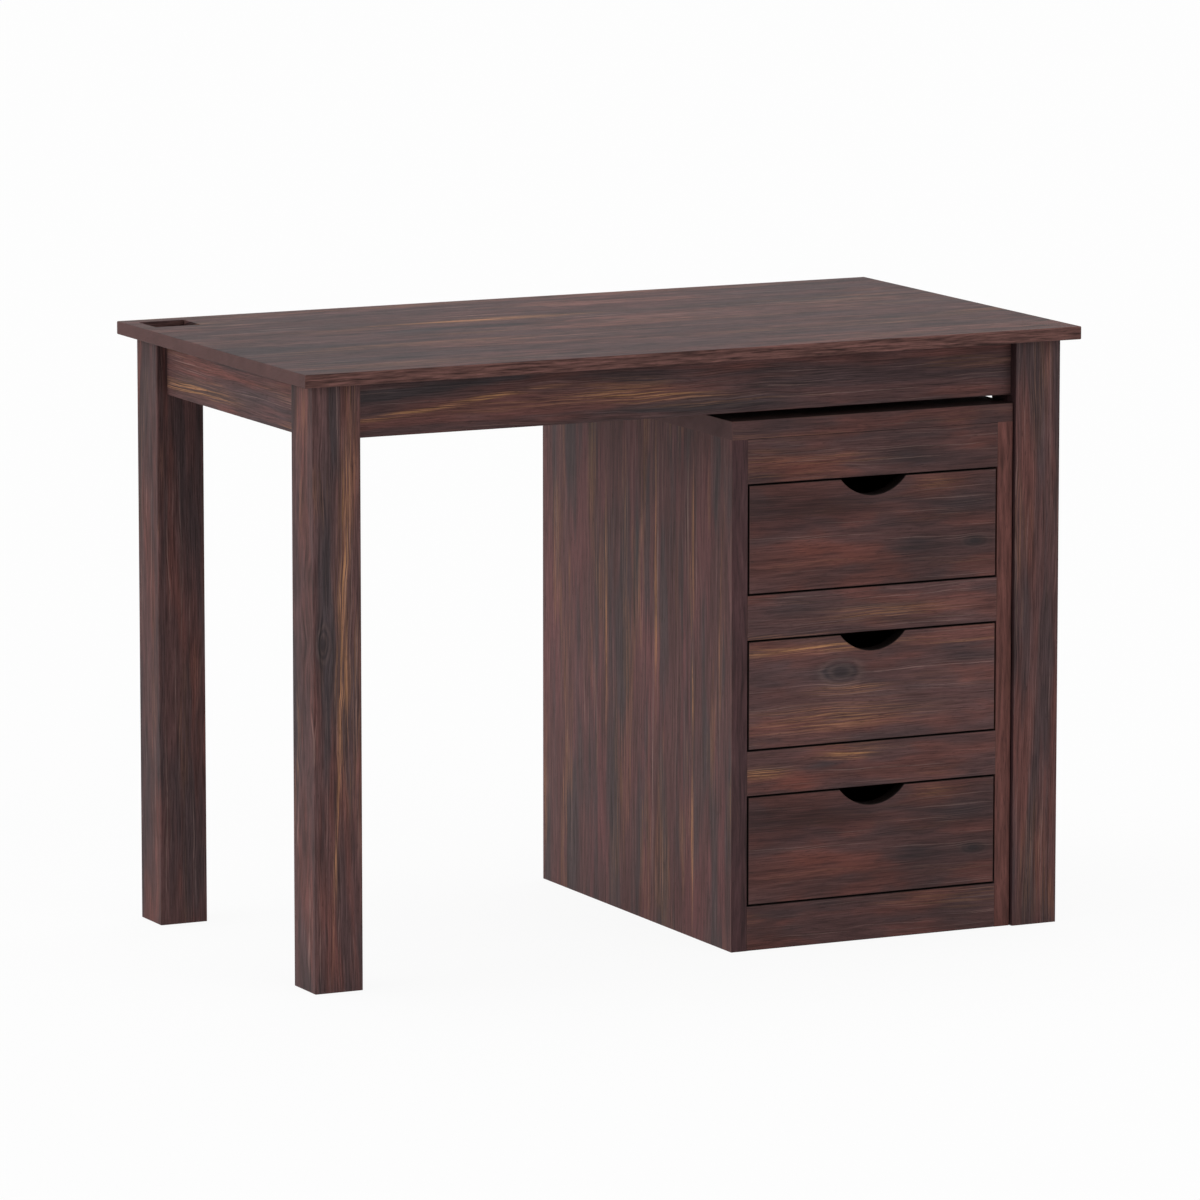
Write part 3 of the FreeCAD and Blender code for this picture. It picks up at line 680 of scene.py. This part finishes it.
class ScrewTree(NodeMaker):
    """Geometry nodes that set a cross-recess wood screw at each point of a mesh."""

    FACING = "facing"
    HEAD_SIDES = 24
    HEAD_RINGS = 12
    CUTTER_SHARE = 3.0
    RECESS_SHARE = 1.1
    ROD_SIDES = 16
    CORE_SHARE = 0.72
    TIP_SHARE = 2.0
    POINT_SHARE = 0.12
    THREAD_SHARE = 0.7
    THREAD_STEPS = 18
    RIDGE_SHARE = 0.95
    RIDGE_SIDES = 4
    SPIN_SEED = 5

    def __init__(self, name: str) -> None:
        """Build the tree, with its sizes as named inputs.

        Args:
            name: the tree's name.
        """
        super().__init__(bpy.data.node_groups.new(name, "GeometryNodeTree"))
        self.sockets: dict[str, str] = {}
        self.inputs = self.tree.nodes.new("NodeGroupInput")
        self.build()

    def inlet(self, name: str, kind: str = "NodeSocketFloat") -> Value:
        """Add a named input to the tree.

        Args:
            name: the input's name.
            kind: the type of its socket.

        Returns:
            The input's value.
        """
        item = self.tree.interface.new_socket(name=name, in_out="INPUT", socket_type=kind)
        self.sockets[name] = item.identifier
        return Value(self, self.outlet(self.inputs, item.identifier))

    def moved(self, part: Value, **change: Value) -> Value:
        """Move, turn or scale a part."""
        return self.node("GeometryNodeTransform", values={"Geometry": part, **change})

    def raised(self, part: Value, rise: Value) -> Value:
        """Move a part up."""
        return self.moved(part, Translation=self.vector(0.0, 0.0, rise))

    def block(self, wide: Value, deep: Value, high: Value) -> Value:
        """Make a block round the origin."""
        return self.node("GeometryNodeMeshCube", values={"Size": self.vector(wide, deep, high)})

    def head(self, radius: Value, rise: Value, arm: Value) -> Value:
        """Make the domed head, with a cross cut into it.

        Args:
            radius: the head's radius.
            rise: the head's height.
            arm: the width of the cross's arms.

        Returns:
            The head, on its seat at the origin.
        """
        ball = self.node("GeometryNodeMeshUVSphere",
                         values={"Segments": self.HEAD_SIDES, "Rings": self.HEAD_RINGS})
        dome = self.moved(ball, Scale=self.vector(radius, radius, rise))
        wide, reach = radius * self.CUTTER_SHARE, radius * self.RECESS_SHARE
        below = self.raised(self.block(wide, wide, rise * 2.0), -rise)
        arms = [self.raised(self.block(*sides, rise), rise) for sides in ((reach, arm), (arm, reach))]
        return self.node("GeometryNodeMeshBoolean", {"operation": "DIFFERENCE", "solver": "EXACT"},
                         {"Mesh 1": dome, "Mesh 2": [below, *arms]})

    def shaft(self, shank: Value, length: Value, pitch: Value) -> list[Value]:
        """Make what is under the head.

        Args:
            shank: the radius over the thread.
            length: the length under the head.
            pitch: the distance from turn to turn of the thread.

        Returns:
            The core, its point and the thread.
        """
        core, tip = shank * self.CORE_SHARE, shank * self.TIP_SHARE
        straight = length - tip
        rod = self.node("GeometryNodeMeshCylinder", values={
            "Vertices": self.ROD_SIDES, "Radius": core, "Depth": straight})
        point = self.node("GeometryNodeMeshCone", values={
            "Vertices": self.ROD_SIDES, "Radius Top": core, "Radius Bottom": core * self.POINT_SHARE,
            "Depth": tip})
        wound = straight * self.THREAD_SHARE
        winding = self.node("GeometryNodeCurveSpiral", values={
            "Resolution": self.THREAD_STEPS, "Rotations": wound / pitch, "Start Radius": core,
            "End Radius": core, "Height": wound})
        ridge = self.node("GeometryNodeCurvePrimitiveCircle", values={
            "Resolution": self.RIDGE_SIDES, "Radius": (shank - core) * self.RIDGE_SHARE})
        thread = self.node("GeometryNodeCurveToMesh", values={
            "Curve": winding, "Profile Curve": ridge, "Fill Caps": True})
        return [self.raised(rod, -(straight / 2)), self.raised(point, -length),
                self.raised(thread, -straight)]

    def build(self) -> None:
        """Make one screw and set it on the points, each turned by chance."""
        points = self.inlet("Geometry", "NodeSocketGeometry")
        radius, rise = self.inlet("Head Radius"), self.inlet("Head Height")
        shank, length = self.inlet("Shank Radius"), self.inlet("Length")
        pitch, arm = self.inlet("Thread Pitch"), self.inlet("Recess Width")
        steel = self.inlet("Material", "NodeSocketMaterial")
        screw = self.node("GeometryNodeJoinGeometry", values={
            "Geometry": [self.head(radius, rise, arm), *self.shaft(shank, length, pitch)]})

        facing = self.node("GeometryNodeInputNamedAttribute", {"data_type": "FLOAT_VECTOR"},
                           {"Name": self.FACING})
        spin = self.node("FunctionNodeRandomValue", {"data_type": "FLOAT"},
                         {"Min_001": 0.0, "Max_001": math.tau, "Seed": self.SPIN_SEED}, "Value_001")
        turned = self.node("FunctionNodeRotateRotation", {"rotation_space": "LOCAL"}, {
            "Rotation": self.node("FunctionNodeAlignRotationToVector", {"axis": "Z"}, {"Vector": facing}),
            "Rotate By": self.node("FunctionNodeAxisAngleToRotation", values={"Angle": spin})})
        placed = self.node("GeometryNodeInstanceOnPoints", values={
            "Points": points, "Instance": screw, "Rotation": turned})
        whole = self.node("GeometryNodeRealizeInstances", values={"Geometry": placed})
        dressed = self.node("GeometryNodeSetMaterial", values={"Geometry": whole, "Material": steel})
        self.tree.interface.new_socket(name="Geometry", in_out="OUTPUT", socket_type="NodeSocketGeometry")
        outputs = self.tree.nodes.new("NodeGroupOutput")
        self.tree.links.new(dressed.socket, outputs.inputs[0])


def solids_of(node: str) -> list[list[Vector]]:
    """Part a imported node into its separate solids.

    Args:
        node: the node's name.

    Returns:
        The corner points of each solid.
    """
    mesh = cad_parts[node].data
    keys = [tuple(round(part, SNAP_DIGITS) for part in corner.co) for corner in mesh.vertices]
    leader = {key: key for key in keys}

    def lead(key: Corner) -> Corner:
        """Follow a corner to the one that leads its solid.

        Args:
            key: the corner.

        Returns:
            The leading corner.
        """
        while leader[key] != key:
            key = leader[key]
        return key

    for face in mesh.polygons:
        first = lead(keys[face.vertices[0]])
        for corner in face.vertices[1:]:
            leader[lead(keys[corner])] = first
    solids: dict[Corner, list[Vector]] = {}
    for key in leader:
        solids.setdefault(lead(key), []).append(Vector(key))
    return list(solids.values())


def added(name: str, data: bpy.types.ID) -> bpy.types.Object:
    """Put a new object in the scene.

    Args:
        name: the object's name.
        data: its mesh, lamp or camera.

    Returns:
        The object.
    """
    thing = bpy.data.objects.new(name, data)
    bpy.context.scene.collection.objects.link(thing)
    return thing


@dataclass(frozen=True)
class ScrewSet:
    """The screws of one node, each set where the node has a plain one."""

    node: str
    body: str
    head_radius: float = 0.004
    head_height: float = 0.0026
    shank_radius: float = 0.002
    thread_pitch: float = 0.0018
    recess_width: float = 0.0011
    crease: float = 35.0

    def places(self) -> list[tuple[Vector, Vector, float]]:
        """Find the plain screws.

        Returns:
            Each screw's seat, the way its head faces, and its length under the head.
        """
        found = []
        for points in solids_of(self.node):
            low, high = (Vector(pick(point[axis] for point in points) for axis in range(3))
                         for pick in (min, max))
            axis = max(range(3), key=lambda index: high[index] - low[index])
            side = (axis + 1) % 3
            ends = {end: max(point[side] for point in points
                             if abs(point[axis] - end) < self.head_height / 2)
                    for end in (low[axis], high[axis])}
            top = max(ends, key=ends.get)
            facing = Vector()
            facing[axis] = 1.0 if top == high[axis] else -1.0
            seat = (low + high) / 2
            seat[axis] = top - facing[axis] * self.head_height
            found.append((seat, facing, high[axis] - low[axis] - self.head_height))
        return found

    def build(self, tree: ScrewTree, steel: bpy.types.Material) -> bpy.types.Object:
        """Set the screws and turn them into a plain mesh.

        Args:
            tree: the geometry nodes that make a screw.
            steel: the screws' material.

        Returns:
            The piece, riding on its body in place of the node.
        """
        places = self.places()
        seats = bpy.data.meshes.new(self.node + "_seats")
        seats.from_pydata([seat for seat, _, _ in places], [], [])
        facing = seats.attributes.new(ScrewTree.FACING, "FLOAT_VECTOR", "POINT")
        for index, (_, way, _) in enumerate(places):
            facing.data[index].vector = way
        holder = added(seats.name, seats)
        modifier = holder.modifiers.new("screws", "NODES")
        modifier.node_group = tree.tree
        for name, value in {
            "Head Radius": self.head_radius, "Head Height": self.head_height,
            "Shank Radius": self.shank_radius, "Length": places[0][2], "Thread Pitch": self.thread_pitch,
            "Recess Width": self.recess_width, "Material": steel,
        }.items():
            modifier[tree.sockets[name]] = value
        depsgraph = bpy.context.evaluated_depsgraph_get()
        mesh = bpy.data.meshes.new_from_object(holder.evaluated_get(depsgraph))
        mesh.polygons.foreach_set("use_smooth", [True] * len(mesh.polygons))
        mesh.set_sharp_from_angle(angle=math.radians(self.crease))
        bpy.data.objects.remove(holder)
        piece = added("cross_head_" + self.node, mesh)
        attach(piece, self.body)
        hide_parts(self.node)
        LOG.info("%s: %d screws", piece.name, len(places))
        return piece


def dress(board: Board, finish: WoodFinish) -> None:
    """Give a board's node its own wood.

    Args:
        board: the board.
        finish: its finish.
    """
    material = WoodShader(finish, board).paint()
    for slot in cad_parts[board.node].material_slots:
        slot.material = material
    LOG.info("%s: %s", board.node, finish.name)


@dataclass(frozen=True)
class Assembly:
    """A body of the part and the nodes that hold its screws."""

    body: str
    screws: tuple[str, ...]

    def build(self, tree: ScrewTree, steel: bpy.types.Material) -> None:
        """Set the screws, node by node."""
        for node in self.screws:
            ScrewSet(node, self.body).build(tree, steel)


@dataclass(frozen=True)
class TableFrame(Assembly):
    """Top, legs, aprons and the corner blocks behind them."""

    body: str = "table"
    screws: tuple[str, ...] = ("corner_block_screws", "top_screws")
    top_staves: int = 5
    corners: tuple[str, ...] = ("front_left", "front_right", "rear_right", "rear_left")
    block_seed: int = 40
    top_marks: tuple[Figure, ...] = (
        Figure(Tone.GOLD, -0.1, 0.1, 0.12, 0.012, 1.2),
        Figure(Tone.CHARCOAL, -0.23, 0.04, 0.05, 0.01),
        Figure(Tone.CHARCOAL, -0.12, 0.04, 0.04, 0.008),
        Figure(Tone.CHARCOAL, -0.42, -0.05, 0.2, 0.22, 0.45),
        Figure(Tone.CHARCOAL, 0.36, 0.0, 0.2, 0.25, 0.3),
    )
    leg_marks: tuple[Figure | Knot, ...] = (
        Figure(Tone.GOLD, 0.19, 0.011, 0.15, 0.008, 0.8, slope=0.04),
        Figure(Tone.GOLD, 0.0, 0.006, 0.09, 0.006, 0.75),
        Figure(Tone.GOLD, -0.17, -0.002, 0.12, 0.002, 0.8, slope=0.04),
        Figure(Tone.CHARCOAL, 0.13, -0.017, 0.19, 0.012, slope=0.02),
        Knot(0.057, -0.02, length=0.02, width=0.008),
    )
    front_marks: tuple[Figure, ...] = (
        Figure(Tone.GOLD, -0.33, -0.002, 0.11, 0.003, 1.2, slope=0.11),
        Figure(Tone.GOLD, -0.05, -0.007, 0.08, 0.008, slope=-0.08),
        Figure(Tone.CHARCOAL, -0.34, 0.02, 0.13, 0.01, slope=0.08),
        Figure(Tone.WINE, 0.33, 0.004, 0.14, 0.02, 0.4),
        Figure(Tone.RUSSET, 0.27, 0.016, 0.1, 0.008, 0.8),
        Figure(Tone.RUSSET, 0.04, 0.02, 0.07, 0.008),
        Figure(Tone.CHARCOAL, 0.0, -0.024, 0.1, 0.003),
    )
    left_marks: tuple[Figure, ...] = (
        Figure(Tone.GOLD, 0.12, -0.018, 0.1, 0.006, 1.2),
        Figure(Tone.RUSSET, -0.02, 0.008, 0.12, 0.006),
    )

    def dress(self) -> None:
        """Give each board of the table its wood."""
        dress(Board("table_top", Grain.FLAT, seed=11, staves=self.top_staves, tone=0.87,
                    sides=((Side.LOW_EDGE, Tone.RUSSET),), marks=self.top_marks), BROAD_STAIN)
        for board in (
            Board("leg_front_left", Grain.POST, seed=21, tone=1.08, marks=self.leg_marks),
            # its left face is painted wine-dark: painted shade for the narrow gap beside the pedestal
            Board("leg_front_right", Grain.POST, seed=22, tone=1.05, sides=((Side.LOW_EDGE, Tone.WINE),)),
            Board("leg_rear_right", Grain.POST, seed=23),
            Board("leg_rear_left", Grain.POST, seed=24, tone=0.95),
            Board("apron_front", Grain.LONG, seed=31, tone=0.95, marks=self.front_marks),
            Board("apron_rear", Grain.LONG, seed=32),
            # the left apron's tone of 1.2 is partly its own lighter wood and partly painted light, lifting
            # it out of the shade under the table top's overhang
            Board("apron_left", Grain.DEEP, seed=33, tone=1.2, marks=self.left_marks),
            Board("apron_right", Grain.DEEP, seed=34),
        ):
            dress(board, WALNUT_STAIN)
        for seed, corner in enumerate(self.corners, start=self.block_seed):
            dress(Board("corner_block_" + corner, Grain.LONG, seed), PLANED_INSIDE)


@dataclass(frozen=True)
class Rail:
    """A front rail of the pedestal: its level, its seed, how light it is and what shows in its face."""

    level: str
    seed: int
    tone: float
    marks: tuple[Figure, ...] = ()


@dataclass(frozen=True)
class Pedestal(Assembly):
    """The case that holds the drawers: sides, top, back, front rails, runners and stops."""

    body: str = "pedestal"
    screws: tuple[str, ...] = ("runner_screws", "back_screws")
    side_staves: int = 4
    runner_seed: int = 70
    side_marks: tuple[Figure, ...] = (
        Figure(Tone.GOLD, 0.053, 0.084, 0.12, 0.0025, 1.3),
        Figure(Tone.GOLD, 0.128, -0.058, 0.13, 0.0028, 1.6),
        Figure(Tone.GOLD, 0.181, -0.162, 0.06, 0.0025, 1.4),
        Figure(Tone.GOLD, -0.01, -0.162, 0.04, 0.002, 1.3),
        Figure(Tone.GOLD, -0.19, -0.161, 0.08, 0.0025, 1.6),
        Figure(Tone.CHARCOAL, 0.15, -0.005, 0.09, 0.007),
        Figure(Tone.PALE, 0.15, -0.064, 0.09, 0.001),
        Figure(Tone.PALE, -0.14, -0.05, 0.12, 0.001),
        Figure(Tone.PALE, 0.2, -0.148, 0.08, 0.001),
    )
    rails: tuple[Rail, ...] = (
        Rail("bottom", seed=60, tone=0.94),
        Rail("lower", seed=61, tone=1.04, marks=(
            Figure(Tone.GOLD, -0.155, -0.002, 0.03, 0.006, 1.3),
            Figure(Tone.GOLD, -0.035, 0.014, 0.03, 0.004, 1.2),
            Figure(Tone.CHARCOAL, -0.07, 0.004, 0.025, 0.01, 0.6),
            Figure(Tone.RUSSET, -0.1, -0.018, 0.03, 0.01),
        )),
        Rail("upper", seed=62, tone=1.11, marks=(
            Figure(Tone.GOLD, 0.02, -0.006, 0.08, 0.01, 0.5),
            Figure(Tone.CHARCOAL, -0.1, 0.006, 0.05, 0.01, 0.6),
        )),
        Rail("top", seed=63, tone=0.87, marks=(
            Figure(Tone.RUSSET, -0.12, -0.006, 0.06, 0.014, 0.8),
            Figure(Tone.CHARCOAL, 0.05, -0.006, 0.04, 0.011, 0.8),
            Figure(Tone.RUSSET, 0.15, 0.0, 0.03, 0.014, 0.6),
        )),
    )

    def dress(self) -> None:
        """Give each board of the case its wood."""
        # the left side's tone of 1.36 is partly its own lighter wood and partly painted light, lifting it
        # out of the shade under the table top
        dress(Board("pedestal_side_left", Grain.PANEL, seed=51, staves=self.side_staves, tone=1.36,
                    sides=((Side.LOW_EDGE, Tone.WINE),), marks=self.side_marks), CALM_STAIN)
        dress(Board("pedestal_side_right", Grain.PANEL, seed=52, staves=self.side_staves,
                    sides=((Side.LOW_EDGE, Tone.RUSSET),)), RUDDY_STAIN)
        top_rail = self.rails[-1]
        # the upper face of the pedestal's top board is painted near-black wine: painted shade for the gap
        # under the apron
        dress(Board("pedestal_top", Grain.LONG, top_rail.seed, tone=top_rail.tone, runs_on="rail_top",
                    sides=((Side.HIGH_EDGE, Tone.WINE),)), SHADED_TOP_STAIN)
        # the top and bottom faces of the rails get painted shade, as the walls of the gaps between drawers
        gaps = ((Side.LOW_EDGE, Tone.BLACK), (Side.HIGH_EDGE, Tone.BLACK))
        for runner_seed, rail in enumerate(self.rails, start=self.runner_seed):
            dress(Board("rail_" + rail.level, Grain.LONG, rail.seed, tone=rail.tone, sides=gaps,
                        marks=rail.marks), FRONT_STAIN)
            for side in ("left", "right"):
                dress(Board(f"runner_{side}_{rail.level}", Grain.DEEP, runner_seed), PLANED_INSIDE)
        dress(Board("pedestal_back", Grain.POST, seed=54), PLANED_INSIDE)
        dress(Board("drawer_stops", Grain.DEEP, seed=55), PLANED_INSIDE)
        dress(Board("rail_dowels", Grain.LONG, seed=56), RAW_DOWEL)
        dress(Board("pedestal_top_dowels", Grain.POST, seed=57), RAW_DOWEL)


@dataclass(frozen=True)
class Drawer:
    """One drawer: its front with the finger cut, and the box behind it."""

    level: str
    seed: int
    tone: float
    marks: tuple[Figure | Knot, ...]
    dowel_step: int = 9
    # the four edges of the front get painted shade, as the walls of the gaps round the drawer
    gap_sides: tuple[Side, ...] = (Side.FIRST_END, Side.LAST_END, Side.LOW_EDGE, Side.HIGH_EDGE)
    cut_width: float = 0.091
    cut_depth: float = 0.022
    box: tuple[tuple[str, Grain], ...] = (
        ("side_left", Grain.DEEP),
        ("side_right", Grain.DEEP),
        ("back", Grain.LONG),
        ("bottom_panel", Grain.FLAT),
    )

    def finger_cut(self) -> Hollow:
        """Work out the circle of the finger cut from its width and depth.

        Returns:
            The circle, over the top edge of the front.
        """
        low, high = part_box(f"drawer_{self.level}_front")
        radius = (self.cut_width ** 2 / 4 + self.cut_depth ** 2) / (2 * self.cut_depth)
        return Hollow(0.0, (high.z - low.z) / 2 - self.cut_depth + radius, radius)

    def dress(self) -> None:
        """Give the front the stain, with painted shade on its edges and the rim of its finger cut, and the
        box its plain wood.
        """
        name = "drawer_" + self.level
        dress(Board(name + "_front", Grain.LONG, self.seed, tone=self.tone,
                    marks=(*self.marks, self.finger_cut()),
                    sides=tuple((side, Tone.BLACK) for side in self.gap_sides)), FRONT_STAIN)
        for seed, (part, grain) in enumerate(self.box, start=self.seed + 1):
            dress(Board(f"{name}_{part}", grain, seed), PLANED_INSIDE)
        dress(Board(name + "_dowels", Grain.DEEP, self.seed + self.dowel_step), RAW_DOWEL)


# the top and bottom fronts look as if they were cut one behind the other from one plank
SISTER_FRONT = (
    Figure(Tone.WINE, -0.097, 0.034, 0.13, 0.02, 0.75),
    Figure(Tone.WINE, -0.13, 0.012, 0.06, 0.003, 0.6),
    Figure(Tone.RUSSET, -0.104, -0.03, 0.11, 0.022, 0.7),
    Figure(Tone.CHARCOAL, 0.125, 0.028, 0.06, 0.014, 0.8),
    Figure(Tone.CHARCOAL, 0.07, -0.027, 0.04, 0.012, 0.7),
    Figure(Tone.GOLD, 0.087, 0.054, 0.03, 0.008, 0.4),
    Knot(0.145, -0.022, length=0.018, width=0.008, rim=0.3),
)
KNOTTY_FRONT = (
    Figure(Tone.GOLD, -0.104, 0.056, 0.09, 0.007),
    Figure(Tone.GOLD, 0.104, 0.05, 0.08, 0.0015, 0.8),
    Figure(Tone.CHARCOAL, -0.1, 0.022, 0.09, 0.013, 0.7),
    Figure(Tone.CHARCOAL, 0.139, 0.031, 0.05, 0.012, 0.7),
    Figure(Tone.GOLD, -0.035, -0.001, 0.05, 0.006, 0.5),
    Figure(Tone.GOLD, -0.05, -0.034, 0.1, 0.014, 0.5),
    Figure(Tone.CHARCOAL, 0.0, -0.062, 0.2, 0.008, 0.5),
    Knot(-0.045, 0.021, length=0.027, width=0.016),
)
DRAWERS = (
    Drawer("bottom", seed=140, tone=0.96, marks=SISTER_FRONT),
    Drawer("middle", seed=120, tone=1.19, marks=KNOTTY_FRONT),
    Drawer("top", seed=140, tone=0.94, marks=SISTER_FRONT),
)


@dataclass(frozen=True)
class Viewpoint:
    """The camera: its place in metres, its turn to the right and its tilt down in degrees, and its lens."""

    spot: tuple[float, float, float] = (-4.5179, -9.2158, 2.0519)
    yaw: float = 26.13
    pitch: float = 9.086
    lens: float = 246.96
    reach: float = 200.0

    def build(self) -> None:
        """Make the camera and point the scene at it."""
        camera = bpy.data.cameras.new("viewpoint")
        camera.lens = self.lens
        camera.clip_end = self.reach
        holder = added("viewpoint", camera)
        holder.location = self.spot
        holder.rotation_euler = (math.radians(90 - self.pitch), 0.0, math.radians(-self.yaw))
        bpy.context.scene.camera = holder


@dataclass(frozen=True)
class Lamp:
    """A broad soft lamp: its strength, its spread in degrees and the way it comes from.

    A lamp without sheen doesn't show in glossy faces.
    """

    name: str
    strength: float
    spread: float
    origin: tuple[float, float, float]
    sheen: bool = True

    def build(self) -> None:
        """Hang the lamp."""
        lamp = bpy.data.lights.new(self.name, "SUN")
        lamp.energy = self.strength
        lamp.angle = math.radians(self.spread)
        holder = added(self.name, lamp)
        holder.rotation_euler = Vector(self.origin).to_track_quat("Z", "Y").to_euler()
        holder.visible_glossy = self.sheen


@dataclass(frozen=True)
class Studio:
    """A pale floor under an even sky, with broad soft lamps."""

    floor_reach: float = 80.0
    floor_drop: float = 0.0004
    floor_albedo: float = 0.85
    floor_lift: float = 0.92
    sky: float = 0.25
    lamps: tuple[Lamp, ...] = (
        Lamp("top_lamp", strength=1.35, spread=60.0, origin=(-0.1, 0.15, 0.98)),
        Lamp("front_lamp", strength=1.1, spread=60.0, origin=(0.35, -0.88, 0.3)),
        Lamp("side_lamp", strength=1.6, spread=50.0, origin=(-0.96, 0.16, 0.2)),
        Lamp("back_lamp", strength=0.8, spread=60.0, origin=(0.75, 0.6, 0.2), sheen=False),
    )

    @staticmethod
    def seen(maker: NodeMaker) -> Value:
        """Find the rays that see the background itself, straight, mirrored or through glass.

        Args:
            maker: the maker of the material's or the sky's nodes.

        Returns:
            1 for those rays and 0 for the others.
        """
        path = maker.node("ShaderNodeLightPath")
        straight, mirrored = path.sibling("Is Camera Ray"), path.sibling("Is Glossy Ray")
        return maker.maths("MAXIMUM", maker.maths("MAXIMUM", straight, mirrored),
                           path.sibling("Is Transmission Ray"))

    def build(self) -> None:
        """Make the floor, the sky and the lamps."""
        self.build_floor()
        self.build_sky()
        for lamp in self.lamps:
            lamp.build()

    def build_floor(self) -> None:
        """Lay a wide pale floor that is lifted to white and keeps the shadow."""
        reach, level = self.floor_reach, -self.floor_drop
        mesh = bpy.data.meshes.new("floor")
        mesh.from_pydata([(-reach, -reach, level), (reach, -reach, level), (reach, reach, level),
                          (-reach, reach, level)], [], [(0, 1, 2, 3)])
        floor = added("floor", mesh)
        shader = Shader("pale_floor")
        matt = shader.node("ShaderNodeBsdfDiffuse", values={"Color": (self.floor_albedo,) * 3 + (1.0,)})
        glow = shader.node("ShaderNodeEmission", values={"Strength": 1.0})
        shader.surface(shader.node("ShaderNodeMixShader", values={
            "Fac": self.seen(shader) * self.floor_lift, "Shader": matt, "Shader_001": glow}))
        mesh.materials.append(shader.material)

    def build_sky(self) -> None:
        """Make a sky that looks white and lights the table more softly than it looks."""
        world = bpy.data.worlds.new("sky")
        world.use_nodes = True
        bpy.context.scene.world = world
        maker = NodeMaker(world.node_tree)
        light = maker.node("ShaderNodeBackground", values={"Color": WHITE, "Strength": self.sky})
        look = maker.node("ShaderNodeBackground", values={"Color": WHITE, "Strength": 1.0})
        mixed = maker.node("ShaderNodeMixShader", values={
            "Fac": self.seen(maker), "Shader": light, "Shader_001": look})
        maker.node("ShaderNodeOutputWorld", values={"Surface": mixed})


def main() -> None:
    """Dress the table, set its screws and put it in the studio."""
    logging.basicConfig(level=logging.INFO, format="%(name)s: %(message)s")
    bpy.context.scene.view_settings.view_transform = "Standard"
    tree, steel = ScrewTree("cross_head_screw"), ZincSteel().paint()
    for assembly in (TableFrame(), Pedestal()):
        assembly.dress()
        assembly.build(tree, steel)
    for drawer in DRAWERS:
        drawer.dress()
    Studio().build()
    Viewpoint().build()


if __name__ == "__main__":
    main()
